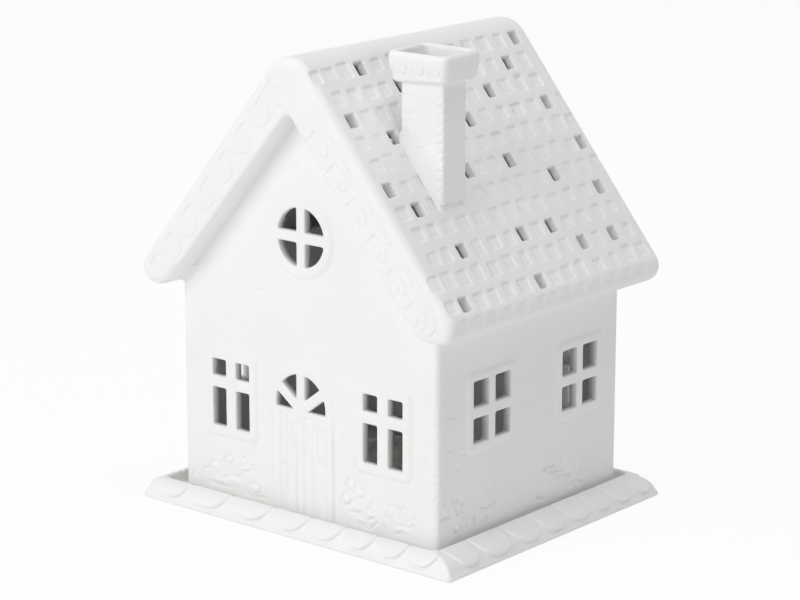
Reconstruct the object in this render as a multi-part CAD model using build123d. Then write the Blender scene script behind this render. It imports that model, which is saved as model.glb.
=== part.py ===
from build123d import *
import os
from math import asin, atan2, cos, hypot, sin, tan

# Ceramic tealight house in two lift-apart pieces: a hollow cast house and the tray it stands in.
# Millimetres. The origin is the centre of the tray's flat underside, +Z up.
# The gable with the door faces -Y, and the chimney stands on the +X roof slope.

# House walls, heights counted from the house's own foot
wall_length = 120.0
wall_depth = 105.4
wall_thickness = 3.6
wall_corner_radius = 4.6

# Tray, whose rim stands clear of the walls by the side and front gaps
tray_height = 8.3
tray_floor_thickness = 3.6
tray_edge_height = 1.3
tray_corner_radius = 4.0
rim_side_width = 9.2
rim_front_width = 5.6
rim_crest_width = 0.8
rim_bulge = 0.9
recess_side_gap = 4.4
recess_front_gap = 4.3
recess_corner_radius = 4.0
seat_depth = 1.2

# Roof
ridge_height = 169.3
ridge_radius = 12.2
rake_board_width = 17.6
gable_overhang = 9.0
eave_overhang = 12.6
soffit_height = 78.7
eave_nose_radius = 6.0
soffit_corner_radius = 4.0
gable_notch_radius = 2.0
roof_edge_radius = 3.4

# Roof perforations, on a grid of rows down the slope and columns along the ridge
hole_width = 5.0
hole_length = 5.4
first_row_distance = 16.9
last_row_margin = 3.85
column_shares = (-0.990, -0.873, -0.744, -0.614, -0.478, -0.338, -0.185, -0.068,
                 0.065, 0.203, 0.360, 0.506, 0.656, 0.801, 0.933)
row_shift_shares = (0.052, 0.016, 0.018, 0.007, 0.007, 0.002, 0.005, 0.029, 0.033, 0.059, 0.079)

# One line a row from the ridge down, from the front gable to the back, with an o where a hole is
perforations = (
    "...o.........o.",
    ".....o......o..",
    ".o........o....",
    "...o....o....o.",
    "...............",
    ".o....o..o....o",
    "..o........o...",
    ".............o.",
    "...o...o.o.....",
    "..........o.o..",
    ".o....o........",
)

# Raised ornament on the walls
relief = 0.8
frame_corner_radius = 2.4

# Front windows, one each side of the door
front_window_length = 17.8
front_window_height = 25.0
front_window_sill = 28.2
front_window_offset = 35.9
front_window_post = 5.0
front_window_rail = 4.5
front_window_rail_height = 42.5
front_frame_margin = 3.7

# Side windows, a pair on each side wall
side_window_length = 20.8
side_window_height = 22.5
side_window_sill = 36.6
side_window_post = 3.7
side_window_rail = 4.0
side_window_rail_height = 45.6
side_frame_margin = 3.0
right_window_places = (-23.1, 28.2)
left_window_places = (-18.9, 28.2)

# Round gable window
round_window_radius = 10.8
round_window_rise = 25.7
round_window_offset = -1.5
round_window_bar = 4.0
round_frame_width = 3.8

# Door with a fan light over four planks
door_offset = -2.3
door_width = 30.4
door_frame_width = 2.5
fanlight_radius = 11.6
fanlight_sill = 41.2
fanlight_stilt = 1.6
fanlight_bar = 4.0
fanlight_bar_angle = 53.0
plank_count = 4
plank_gap = 2.6
plank_top_gap = 2.4
plank_relief = 0.5

# Chimney, cast by itself and luted to the roof
stack_length = 18.8
stack_depth = 13.2
stack_offset = 38.2
stack_front_distance = 17.5
stack_corner_radius = 1.2
chimney_wall = 2.8
cap_overhang = 3.7
cap_height = 10.4
chimney_rise = 3.0
cap_corner_radius = 2.6
cap_edge_radius = 1.6

# Tealight
cup_diameter = 38.0
cup_height = 15.0
cup_wall = 0.4
cup_rim_overhang = 0.5
cup_rim_height = 0.8
wax_depth = 11.6
wick_diameter = 1.6
wick_exposed = 7.0
sustainer_diameter = 12.0
sustainer_thickness = 0.3
collar_height = 3.0
collar_wall = 0.4

# Fits
seat_clearance = 0.5
wax_clearance = 0.05

# Cuts run past the faces that they open, and corners are found within a small reach
overrun = 3.0
near = 0.01

foot = tray_floor_thickness
recess_length = wall_length + 2 * recess_side_gap
recess_depth = wall_depth + 2 * recess_front_gap
tray_length = recess_length + 2 * rim_side_width
tray_depth = recess_depth + 2 * rim_front_width
nose_reach = wall_length / 2 + eave_overhang - eave_nose_radius
nose_height = soffit_height + eave_nose_radius
ridge_centre = ridge_height - ridge_radius
centre_line = hypot(nose_reach, ridge_centre - nose_height)
pitch = atan2(ridge_centre - nose_height, nose_reach) + asin((ridge_radius - eave_nose_radius) / centre_line)
apex = ridge_centre + ridge_radius / cos(pitch)
board_drop = rake_board_width / cos(pitch)
roof_length = wall_depth + 2 * gable_overhang
slope_length = (nose_reach + eave_nose_radius * sin(pitch)) / cos(pitch)
row_pitch = (slope_length - first_row_distance - last_row_margin) / (len(perforations) - 1)
chimney_height = ridge_height + chimney_rise
round_window_height = soffit_height + round_window_rise
inner_length = wall_length - 2 * wall_thickness
inner_depth = wall_depth - 2 * wall_thickness


def upper_outline(inset):
    """Ridge arc and slopes of the roof section, drawn in by the inset, from eave to eave."""
    radius = ridge_radius - inset
    nose = eave_nose_radius - inset
    side = (radius * sin(pitch), ridge_centre + radius * cos(pitch))
    tangent = (nose_reach + nose * sin(pitch), nose_height + nose * cos(pitch))
    ridge = ThreePointArc((-side[0], side[1]), (0, ridge_centre + radius), side)
    right = Line(side, tangent)
    left = Line((-tangent[0], tangent[1]), (-side[0], side[1]))
    return ridge, right, left, tangent


def roof_band_section(inset):
    """The roof slab with its eave noses and soffits, without the gable under it."""
    ridge, right, left, tangent = upper_outline(inset)
    nose = eave_nose_radius - inset
    low = nose_height - nose
    low_apex = apex - board_drop + inset / cos(pitch)
    corner = (low_apex - low) / tan(pitch)
    tip = (nose_reach + nose * cos(pitch / 2), nose_height - nose * sin(pitch / 2))
    lines = [ridge, right, left]
    lines.append(ThreePointArc(tangent, tip, (nose_reach, low)))
    lines.append(ThreePointArc((-tangent[0], tangent[1]), (-tip[0], tip[1]), (-nose_reach, low)))
    lines.append(Line((nose_reach, low), (corner, low)))
    lines.append(Line((-nose_reach, low), (-corner, low)))
    lines.append(Line((corner, low), (0, low_apex)))
    lines.append(Line((-corner, low), (0, low_apex)))
    section = make_face(Curve() + lines)
    if inset > 0:
        return section
    soffit_corners = section.vertices().filter_by(lambda v: abs(abs(v.X) - corner) < near)
    section = fillet(soffit_corners, soffit_corner_radius)
    notch = section.vertices().filter_by(lambda v: abs(v.X) < near and v.Y < ridge_height - overrun)
    return fillet(notch, gable_notch_radius)


def gable_section(inset):
    """Everything under the roof's slopes, drawn in by the inset, down past the foot."""
    ridge, right, left, tangent = upper_outline(inset)
    corners = [tangent, (tangent[0], -overrun), (-tangent[0], -overrun), (-tangent[0], tangent[1])]
    return make_face(Curve() + [ridge, right, left, Polyline(*corners)])


def along_ridge(section, length):
    """A house cross-section made solid along Y, centred, standing on the foot height."""
    placed = Plane((0, 0, foot), x_dir=(1, 0, 0), z_dir=(0, -1, 0)) * section
    return extrude(placed, length / 2, both=True)


def rounded_block(length, depth, height, radius, base=0.0):
    """An upright block with rounded vertical corners."""
    outline = Pos(0, 0, base) * RectangleRounded(length, depth, radius)
    return extrude(outline, height)


def front_plane():
    return Plane((0, -wall_depth / 2, foot), x_dir=(1, 0, 0), z_dir=(0, -1, 0))


def back_plane():
    return Plane((0, wall_depth / 2, foot), x_dir=(-1, 0, 0), z_dir=(0, 1, 0))


def right_plane():
    return Plane((wall_length / 2, 0, foot), x_dir=(0, 1, 0), z_dir=(1, 0, 0))


def left_plane():
    return Plane((-wall_length / 2, 0, foot), x_dir=(0, -1, 0), z_dir=(-1, 0, 0))


def raised(plane, section, height=relief):
    """A wall ornament that stands out by its height and roots in the wall."""
    root = wall_thickness / 2
    return extrude(plane.offset(-root) * section, height + root)


def cut_through(plane, section):
    """A cut from outside a wall's ornament to inside the wall."""
    return extrude(plane.offset(relief + overrun) * section, -(wall_thickness + relief + 2 * overrun))


def window(centre, sill, size, post, rail, rail_height, margin):
    """Frame and glass outlines of a four-pane window, in the wall's own plane."""
    length, height = size
    middle = sill + height / 2
    frame = RectangleRounded(length + 2 * margin, height + 2 * margin, frame_corner_radius)
    glass = Pos(centre, middle) * Rectangle(length, height)
    glass -= Pos(centre, middle) * Rectangle(post, height)
    glass -= Pos(centre, rail_height + rail / 2) * Rectangle(length, rail)
    return Pos(centre, middle) * frame, glass


def front_window(centre):
    size = (front_window_length, front_window_height)
    return window(centre, front_window_sill, size, front_window_post, front_window_rail,
                  front_window_rail_height, front_frame_margin)


def side_window(centre):
    size = (side_window_length, side_window_height)
    return window(centre, side_window_sill, size, side_window_post, side_window_rail,
                  side_window_rail_height, side_frame_margin)


def round_window():
    """Raised ring and four quarter panes in the gable."""
    place = Pos(round_window_offset, round_window_height)
    ring = place * Circle(round_window_radius + round_frame_width)
    glass = place * Circle(round_window_radius)
    span = 2 * (round_window_radius + overrun)
    glass -= place * Rectangle(round_window_bar, span)
    glass -= place * Rectangle(span, round_window_bar)
    return ring, glass


def arch(half_width, springing):
    """A round-headed outline from the foot up, centred on the door."""
    straight = Pos(door_offset, springing / 2) * Rectangle(2 * half_width, springing)
    return straight + Pos(door_offset, springing) * Circle(half_width)


def fanlight():
    """The panes over the door, between bars that fan out from the sill."""
    springing = fanlight_sill + fanlight_stilt
    opening = arch(fanlight_radius, springing)
    below = Pos(door_offset, fanlight_sill / 2) * Rectangle(door_width, fanlight_sill)
    opening -= below
    reach = 2 * (fanlight_radius + overrun)
    for angle in (-fanlight_bar_angle, 0, fanlight_bar_angle):
        opening -= Pos(door_offset, fanlight_sill) * Rot(0, 0, angle) * Rectangle(fanlight_bar, reach)
    return opening


def door_surround():
    """Raised arch round the door, open over the planks, with the fan light's panes in its head."""
    springing = fanlight_sill + fanlight_stilt
    leaf_width = door_width - 2 * door_frame_width
    leaf = Pos(door_offset, fanlight_sill / 2) * Rectangle(leaf_width, fanlight_sill)
    return raised(front_plane(), arch(door_width / 2, springing) - leaf)


def planks():
    """Round-headed planks that fill the door under the fan light."""
    span = door_width - 2 * door_frame_width
    spacing = (span + plank_gap) / plank_count
    width = spacing - plank_gap
    height = fanlight_sill - plank_top_gap - width / 2
    boards = []
    for index in range(plank_count):
        centre = door_offset + (index - (plank_count - 1) / 2) * spacing
        board = Pos(centre, height / 2) * Rectangle(width, height)
        boards.append(board + Pos(centre, height) * Circle(width / 2))
    return boards


def slope_place(row, column, side):
    """Place on a roof slope, with Z square to it; side is 1 for the +X slope, -1 for the -X one."""
    distance = first_row_distance + row * row_pitch
    along = (column_shares[column] + row_shift_shares[row]) * roof_length / 2
    height = foot + apex - distance * sin(pitch)
    return Plane((side * distance * cos(pitch), side * along, height),
                 x_dir=(0, 1, 0), z_dir=(side * sin(pitch), 0, cos(pitch)))


def perforation_cuts():
    """Small rectangular holes through both roof slopes."""
    depth = wall_thickness + 2 * overrun
    cuts = []
    for side in (1, -1):
        for row, marks in enumerate(perforations):
            for column, mark in enumerate(marks):
                if mark == "o":
                    cuts.append(slope_place(row, column, side) * Box(hole_width, hole_length, depth))
    return cuts


def make_house_shell():
    """Walls and roof as one casting of even thickness, open underneath."""
    walls = rounded_block(wall_length, wall_depth, apex, wall_corner_radius, foot)
    walls &= along_ridge(gable_section(rake_board_width / 2), wall_depth)
    roof = along_ridge(roof_band_section(0.0), roof_length)
    ends = roof.faces().filter_by(Axis.Y)
    roof = fillet(ends.edges(), roof_edge_radius)
    shell = walls + roof

    facade = []
    cuts = []
    for centre in (-front_window_offset, front_window_offset):
        for plane in (front_plane(), back_plane()):
            frame, glass = front_window(centre)
            facade.append(raised(plane, frame))
            cuts.append(cut_through(plane, glass))
    for plane, places in ((right_plane(), right_window_places), (left_plane(), left_window_places)):
        for place in places:
            frame, glass = side_window(place * plane.x_dir.Y)
            facade.append(raised(plane, frame))
            cuts.append(cut_through(plane, glass))
    ring, quarters = round_window()
    facade.append(raised(front_plane(), ring))
    cuts.append(cut_through(front_plane(), quarters))
    facade.append(door_surround())
    facade += [raised(front_plane(), board, plank_relief) for board in planks()]
    cuts.append(cut_through(front_plane(), fanlight()))
    shell += facade

    cavity = rounded_block(inner_length, inner_depth, apex + overrun,
                           wall_corner_radius - wall_thickness, foot - overrun)
    cavity &= along_ridge(gable_section(wall_thickness), inner_depth)
    cavity += along_ridge(roof_band_section(wall_thickness), roof_length - 2 * wall_thickness)
    cuts.append(flue())
    return shell - cavity - cuts - perforation_cuts()


def make_chimney():
    """Square stack with a projecting cap, hollow throughout, its foot cut to the roof slope."""
    cap_length = stack_length + 2 * cap_overhang
    cap_depth = stack_depth + 2 * cap_overhang
    cap_base = chimney_height - cap_height
    stack = chimney_block(stack_length, stack_depth, soffit_height, chimney_height, stack_corner_radius)
    cap = chimney_block(cap_length, cap_depth, cap_base, chimney_height, cap_corner_radius)
    rims = cap.edges().filter_by(lambda e: abs(e.bounding_box().size.Z) < near)
    cap = fillet(rims, cap_edge_radius)
    mouth = chimney_block(cap_length - 2 * chimney_wall, cap_depth - 2 * chimney_wall,
                          cap_base + chimney_wall, chimney_height + overrun, stack_corner_radius)
    return stack + cap - mouth - flue() - along_ridge(gable_section(0.0), roof_length)


def flue():
    """The shaft down the chimney and on through the roof."""
    return chimney_block(stack_length - 2 * chimney_wall, stack_depth - 2 * chimney_wall,
                         soffit_height, chimney_height, stack_corner_radius)


def chimney_block(length, depth, low, high, radius):
    """An upright block on the chimney's axis between two heights above the house's foot."""
    behind_gable = stack_front_distance + stack_depth / 2
    centre = Pos(stack_offset, behind_gable - wall_depth / 2, 0)
    return centre * rounded_block(length, depth, high - low, radius, foot + low)


def make_base_tray():
    """Tray with a bulging rim, a recess for the house and a shallow seat for the tealight."""
    crest_length = recess_length + 2 * rim_crest_width
    crest_depth = recess_depth + 2 * rim_crest_width
    crest_radius = recess_corner_radius + rim_crest_width
    edge = Pos(0, 0, tray_edge_height) * RectangleRounded(tray_length, tray_depth, tray_corner_radius)
    middle = Pos(0, 0, (tray_edge_height + tray_height) / 2 + rim_bulge)
    middle *= RectangleRounded((tray_length + crest_length) / 2 + rim_bulge,
                               (tray_depth + crest_depth) / 2 + rim_bulge,
                               (tray_corner_radius + crest_radius) / 2)
    crest = Pos(0, 0, tray_height) * RectangleRounded(crest_length, crest_depth, crest_radius)
    tray = rounded_block(tray_length, tray_depth, tray_edge_height, tray_corner_radius)
    tray += loft([edge, middle, crest], ruled=True)
    tray -= rounded_block(recess_length, recess_depth, tray_height, recess_corner_radius,
                          tray_floor_thickness)
    seat = Pos(0, 0, cup_floor()) * Circle(cup_diameter / 2 + seat_clearance)
    return tray - extrude(seat, tray_height)


def cup_floor():
    """Height of the seat that the tealight stands in."""
    return tray_floor_thickness - seat_depth


def disc(diameter, base, height):
    """An upright round block on the tealight's axis."""
    return extrude(Pos(0, 0, base) * Circle(diameter / 2), height)


def make_tealight_cup():
    """Thin metal cup with a small outward rim."""
    base = cup_floor()
    cup = disc(cup_diameter, base, cup_height)
    cup += disc(cup_diameter + 2 * cup_rim_overhang, base + cup_height - cup_rim_height, cup_rim_height)
    return cup - disc(cup_diameter - 2 * cup_wall, base + cup_wall, cup_height)


def make_wick_sustainer():
    """Flat metal foot with a collar that grips the wick, standing on the cup's floor."""
    base = cup_floor() + cup_wall
    foot_plate = disc(sustainer_diameter, base, sustainer_thickness)
    collar = disc(wick_diameter + 2 * (wax_clearance + collar_wall), base, collar_height)
    bore = disc(wick_diameter + 2 * wax_clearance, base + sustainer_thickness, collar_height)
    return foot_plate + collar - bore


def make_tealight_wick():
    """Wick from the sustainer's foot up through the wax."""
    base = cup_floor() + cup_wall + sustainer_thickness
    return disc(wick_diameter, base, wax_depth - sustainer_thickness + wick_exposed)


def make_tealight_wax():
    """Poured wax round the sustainer and the wick."""
    base = cup_floor() + cup_wall
    wax = disc(cup_diameter - 2 * (cup_wall + wax_clearance), base, wax_depth)
    wax -= disc(wick_diameter + 2 * wax_clearance, base, wax_depth)
    wax -= disc(wick_diameter + 2 * (2 * wax_clearance + collar_wall), base, collar_height)
    return wax - disc(sustainer_diameter + 2 * wax_clearance, base, sustainer_thickness)


nodes = {
    "base_tray": make_base_tray,
    "house_shell": make_house_shell,
    "chimney": make_chimney,
    "tealight_cup": make_tealight_cup,
    "wick_sustainer": make_wick_sustainer,
    "tealight_wick": make_tealight_wick,
    "tealight_wax": make_tealight_wax,
}

os.makedirs("parts", exist_ok=True)
for name, make in nodes.items():
    solid = make()
    solid.label = name
    export_step(solid, f"parts/{name}.step")
    print(name, "solids", len(solid.solids()), "volume", round(solid.volume), "mm3")
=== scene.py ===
from math import asin, atan2, ceil, cos, hypot, pi, radians, sin

import bmesh
import bpy
import numpy as np
import openvdb
from mathutils import Matrix, Vector


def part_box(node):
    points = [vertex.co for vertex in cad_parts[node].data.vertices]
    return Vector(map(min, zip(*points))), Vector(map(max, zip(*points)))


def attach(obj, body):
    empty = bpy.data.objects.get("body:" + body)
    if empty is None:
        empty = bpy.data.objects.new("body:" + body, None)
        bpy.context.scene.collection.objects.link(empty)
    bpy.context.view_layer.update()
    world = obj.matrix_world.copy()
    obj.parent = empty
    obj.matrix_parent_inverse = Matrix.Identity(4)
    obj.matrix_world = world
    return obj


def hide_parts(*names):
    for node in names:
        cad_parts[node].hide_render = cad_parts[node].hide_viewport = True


# Ceramic tealight house in its tray, with a tealight inside.
# Each casting is a field of signed distances, negative inside, that is turned into a mesh at the end.
# Shapes are in millimetres in the frame's axes and go into Blender in metres.
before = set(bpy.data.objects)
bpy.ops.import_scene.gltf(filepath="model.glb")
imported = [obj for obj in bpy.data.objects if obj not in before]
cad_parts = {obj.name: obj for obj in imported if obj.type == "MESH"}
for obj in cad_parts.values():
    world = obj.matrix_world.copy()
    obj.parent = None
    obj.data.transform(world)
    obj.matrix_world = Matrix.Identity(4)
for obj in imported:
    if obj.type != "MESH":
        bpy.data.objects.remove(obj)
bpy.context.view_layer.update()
MM = 0.001
single = np.float32

# Sampling: grid steps, merging of flat parts, grid steps kept round a surface and used for its slopes, rows
# filled at a time, and the spacing of places on a pressed line
house_step = 0.4
chimney_step = 0.3
tray_step = 0.36
merging = 0.004
band_steps = 4
slope_steps = 0.9
slab_rows = 24
line_spacing = 0.25

# House walls; heights are above the table
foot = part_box("house_shell")[0].z / MM
half_length = 60.0
half_depth = 52.7
wall = 3.6
wall_corner = 2.1
inner_corner = 2.0
foot_radius = 1.1

# Roof section: sharp apex over the ridge arc, and the eave nose's centre
ridge_top = foot + 169.3
ridge_radius = 12.2
nose_radius = 6.0
nose_x = 66.6
nose_z = foot + 84.7
board_width = 17.6
ridge_board_width = 16.7
left_board_narrowing = 2.4
right_board_widening = 0.9
roof_half_depth = 61.7
outer_edge_radius = 3.4
inner_edge_radius = 1.6
soffit_corner = 4.0
notch_radius = 2.0
gable_fillet = 1.1
eave_fillet = 3.0
ridge_centre = ridge_top - ridge_radius
pitch = atan2(ridge_centre - nose_z, nose_x) + asin(
    (ridge_radius - nose_radius) / hypot(nose_x, ridge_centre - nose_z))
apex = ridge_centre + ridge_radius / cos(pitch)
low_apex = apex - ridge_board_width / cos(pitch)
soffit = nose_z - nose_radius
house_box = ((-74.4, -63.6, foot - 1.6), (74.4, 63.6, ridge_top + 1.6))
slope_length = (nose_x + nose_radius * sin(pitch)) / cos(pitch)

# Skin of the slopes that takes the dents, and heights over the soffit where the eave's wide fillet ends and
# where the boards' inner edge turns from soft to firm
skin_reach = 2.5
skin_start = 4.0
skin_depth = 4.5
slope_overrun = 12.0
eave_zone = 8.0
soft_edge_low = 6.0
soft_edge_high = 12.0

# Roof perforations on a grid of rows down the slope and columns along the ridge; dents fill the free places
hole_width = 5.0
hole_length = 5.4
hole_corner = 0.4
hole_slant = 1.4
hole_overcut = 1.0
hole_reach = 9.0
hole_limit = 55.6
dent_limit = 58.0
dent_corner = 0.8
dent_fall = 0.4
eave_dent_place = 3.0
eave_dent_half = (1.7, 2.2)
eave_dent_depth = 0.5
first_row = 16.9
last_row_margin = 3.85
column_shares = (-0.990, -0.873, -0.744, -0.614, -0.478, -0.338, -0.185, -0.068,
                 0.065, 0.203, 0.360, 0.506, 0.656, 0.801, 0.933)
row_shifts = (0.052, 0.016, 0.018, 0.007, 0.007, 0.002, 0.005, 0.029, 0.033, 0.059, 0.079)
perforations = (
    "...o.........o.",
    ".....o......o..",
    ".o........o....",
    "...o....o....o.",
    "...............",
    ".o....o..o....o",
    "..o........o...",
    ".............o.",
    "...o...o.o.....",
    "..........o.o..",
    ".o....o........",
)
row_pitch = (slope_length - first_row - last_row_margin) / (len(perforations) - 1)


# Fields

def join(a, b, radius):
    """Union of two fields with a fillet in the hollow between them."""
    corner = np.hypot(np.maximum(radius - a, 0), np.maximum(radius - b, 0))
    return np.maximum(radius, np.minimum(a, b)) - corner


def meet(a, b, radius):
    """Overlap of two fields with a rounded edge where they cross."""
    corner = np.hypot(np.maximum(a + radius, 0), np.maximum(b + radius, 0))
    return np.minimum(-radius, np.maximum(a, b)) + corner


def rectangle(u, v, half_u, half_v, radius):
    """Distance to a rounded rectangle about the origin."""
    du = np.abs(u) - (half_u - radius)
    dv = np.abs(v) - (half_v - radius)
    outside = np.hypot(np.maximum(du, 0), np.maximum(dv, 0))
    return outside + np.minimum(np.maximum(du, dv), 0) - radius


def smooth(low, high, value):
    """Rises smoothly from 0 at low to 1 at high."""
    share = np.clip((value - low) / (high - low), 0, 1)
    return share * share * (3 - 2 * share)


class Field:
    """Signed distances in millimetres on an even grid, with open axes for broadcasting."""

    def __init__(self, low, high, step):
        self.low = np.array(low, dtype=float)
        self.step = step
        counts = [int(ceil((b - a) / step)) + 1 for a, b in zip(low, high)]
        x, y, z = (np.array(a + step * np.arange(n), dtype=single) for a, n in zip(low, counts))
        self.x = x[:, None, None]
        self.y = y[None, :, None]
        self.z = z[None, None, :]
        self.values = np.empty(counts, dtype=single)

    def carve(self, low, high, shape, radius):
        """Cut a shape out of one box of the field, with rounded edges; shape gives distances."""
        spans = []
        for axis, a, b in zip(range(3), low, high):
            start = max(0, int((a - self.low[axis]) / self.step))
            end = int((b - self.low[axis]) / self.step) + 2
            spans.append(slice(start, end))
        i, j, k = spans
        cutter = shape(self.x[i], self.y[:, j], self.z[:, :, k])
        self.values[i, j, k] = meet(self.values[i, j, k], -cutter, radius)

    def sample(self, places):
        """Field values at places given in grid steps, between the grid's points."""
        base = np.clip(places.astype(int), 0, np.array(self.values.shape) - 2)
        share = places - base
        total = 0
        for corner in np.ndindex(2, 2, 2):
            weight = np.prod(np.where(corner, share, 1 - share), axis=1)
            i, j, k = (base + corner).T
            total = total + weight * self.values[i, j, k]
        return total

    def surface(self):
        """Points, outward normals and faces of the zero surface; faces hold three or four corners."""
        reach = band_steps * self.step
        grid = openvdb.FloatGrid(reach)
        grid.copyFromArray(np.clip(self.values, -reach, reach))
        points, triangles, quads = grid.convertToPolygons(isovalue=0.0, adaptivity=merging)
        places = points.astype(float)
        steps = slope_steps * np.eye(3)
        slopes = [self.sample(places + step) - self.sample(places - step) for step in steps]
        normals = np.stack(slopes, axis=1)
        normals /= np.maximum(np.linalg.norm(normals, axis=1), 1e-9)[:, None]
        return self.low + places * self.step, normals, triangles.astype(int), quads.astype(int)


def add_object(name, data):
    """A new object in the scene."""
    item = bpy.data.objects.new(name, data)
    bpy.context.collection.objects.link(item)
    return item


def make_piece(name, points, normals, triangles, quads):
    """A smooth-shaded mesh object in metres from points in millimetres."""
    used = np.unique(np.concatenate([triangles.ravel(), quads.ravel()]))
    order = np.zeros(len(points), dtype=int)
    order[used] = np.arange(len(used))
    corners = order[np.concatenate([triangles.ravel(), quads.ravel()])]
    starts = np.concatenate([3 * np.arange(len(triangles)), 3 * len(triangles) + 4 * np.arange(len(quads))])
    mesh = bpy.data.meshes.new(name)
    mesh.vertices.add(len(used))
    mesh.vertices.foreach_set("co", (points[used] * MM).astype(single).ravel())
    mesh.loops.add(len(corners))
    mesh.loops.foreach_set("vertex_index", corners.astype(np.int32))
    mesh.polygons.add(len(starts))
    mesh.polygons.foreach_set("loop_start", starts.astype(np.int32))
    mesh.polygons.foreach_set("use_smooth", np.ones(len(starts), dtype=bool))
    mesh.update(calc_edges=True)
    mesh.normals_split_custom_set_from_vertices(normals[used].tolist())
    return add_object(name, mesh)


# Relief, drawn as heights on a flat face

def curve(points):
    """A smooth line through the points, as closely spaced places."""
    points = np.array(points, dtype=float)
    guide = np.array([2 * points[0] - points[1], *points, 2 * points[-1] - points[-2]])
    places = []
    for a, b, c, d in zip(guide, guide[1:], guide[2:], guide[3:]):
        count = max(2, int(np.hypot(*(c - b)) / line_spacing))
        t = np.arange(count)[:, None] / count
        places.append(b + 0.5 * t * (c - a + t * (2 * a - 5 * b + 4 * c - d + t * (3 * (b - c) + d - a))))
    places.append(points[-1:])
    return np.concatenate(places)


class Relief:
    """Heights over a face; u runs along it and v up it. Raised forms, swellings and grooves add up."""

    def __init__(self, u, v):
        self.shape = np.broadcast(u, v).shape
        self.u = np.ravel(u)
        self.v = np.ravel(v)
        self.raised = np.zeros((len(self.u), len(self.v)), dtype=single)
        self.swells = np.zeros_like(self.raised)
        self.grooves = np.zeros_like(self.raised)

    def window(self, places, margin):
        """Slices that cover some places, and the face's axes there."""
        low = np.min(places, axis=0) - margin
        high = np.max(places, axis=0) + margin
        i = slice(*np.searchsorted(self.u, (low[0], high[0])))
        j = slice(*np.searchsorted(self.v, (low[1], high[1])))
        return (i, j), self.u[i][:, None], self.v[j][None, :]

    def groove(self, points, pen):
        """A soft line pressed into the face; a pen is half of the line's breadth, and its depth."""
        width, depth = pen
        places = curve(points)
        spans, u, v = self.window(places, width)
        away = np.full(np.broadcast(u, v).shape, np.inf)
        for place in places:
            away = np.minimum(away, np.hypot(u - place[0], v - place[1]))
        profile = depth * (0.5 + 0.5 * np.cos(pi * np.clip(away / width, 0, 1)))
        self.grooves[spans] = np.maximum(self.grooves[spans], profile)

    def groove_lines(self, lines, pen, flip=1):
        """Press several lines, or their mirror images where flip is -1."""
        for line in lines:
            self.groove([(flip * u, v) for u, v in line], pen)

    def raise_shape(self, shape, height, edge):
        """Raise the inside of a shape, given as a distance, with a soft step along its outline."""
        step = height * smooth(edge, -edge, shape(self.u[:, None], self.v[None, :]))
        self.raised[:] = np.maximum(self.raised, step)

    def swell(self, centre, size, height):
        """A soft oval rise."""
        away = np.hypot((self.u[:, None] - centre[0]) / size[0], (self.v[None, :] - centre[1]) / size[1])
        self.swells[:] = np.maximum(self.swells, height * smooth(1.0, 0.2, away))

    def heights(self):
        """All heights, in the shape that the two axes span together."""
        return (self.raised + self.swells - self.grooves).reshape(self.shape)


def face_heights(x, y, half_x, half_y, faces):
    """Height of the relief on the face that a place lies over; faces are front, back, right and left."""
    front, back, right, left = faces
    over_ends = np.abs(y) - half_y > np.abs(x) - half_x
    return np.where(over_ends, np.where(y < 0, front, back), np.where(x > 0, right, left))


# House

def wedge_distance(x, z):
    """Distance to everything under the two slopes and the ridge arc."""
    across = np.abs(x)
    slope = across * sin(pitch) + (z - apex) * cos(pitch)
    arc = np.hypot(across, z - ridge_centre) - ridge_radius
    near_ridge = across * cos(pitch) < (z - ridge_centre) * sin(pitch)
    return np.where(near_ridge, arc, slope)


def hull_distance(x, z):
    """The wedge, closed by the soffit's level and the round eave noses."""
    across = np.abs(x) - nose_x
    up = z - nose_z
    flat = np.maximum(wedge_distance(x, z), soffit - z)
    beyond = (across > 0) & (across * cos(pitch) - up * sin(pitch) > 0)
    return np.where(beyond, np.hypot(across, up) - nose_radius, flat)


def gable_distance(x, z):
    """Distance to the triangle under the rake boards, with a blunt top; the left board narrows downwards."""
    across = np.abs(x)
    share = np.clip((low_apex - z) / (low_apex - soffit), 0, 1)
    line = across * sin(pitch) + (z - low_apex) * cos(pitch)
    line = line + share * np.where(x < 0, -left_board_narrowing, right_board_widening)
    centre = low_apex - notch_radius / cos(pitch)
    tip = np.hypot(across, z - centre) - notch_radius
    return np.where(across * cos(pitch) < (z - centre) * sin(pitch), tip, line)


def slope_place(side, distance, inset=0):
    """The x and z of a place at a distance down a roof slope from the sharp apex, and at an inset from it."""
    return (side * (distance * cos(pitch) - inset * sin(pitch)),
            apex - distance * sin(pitch) - inset * cos(pitch))


def grid_cells(side):
    """Mark, distance down the slope and y of each cell of one slope's perforation grid."""
    for row, marks in enumerate(perforations):
        for column, mark in enumerate(marks):
            along = side * (column_shares[column] + row_shifts[row]) * roof_half_depth
            if mark == "o":
                along = max(-hole_limit, min(hole_limit, along))
            yield mark, first_row + row * row_pitch, along


def skin_dents(field, reliefs, hull, wedge):
    """Grid places in the roof's upper skin, as indices along x and z, and the relief there along y."""
    down = (np.abs(field.x) * cos(pitch) + (apex - field.z) * sin(pitch))[:, 0, :]
    near = (np.abs(hull[:, 0, :]) < skin_reach) & (down > skin_start) & (wedge[:, 0, :] > -skin_depth)
    i, k = np.nonzero(near)
    right, left = (reliefs[name].heights() for name in ("right_slope", "left_slope"))
    row = np.clip(np.round(down[i, k] / field.step).astype(int), 0, len(right) - 1)
    on_right = field.x[i, 0, 0] > 0
    return i, k, np.where(on_right[:, None], right[row], left[row])


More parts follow.
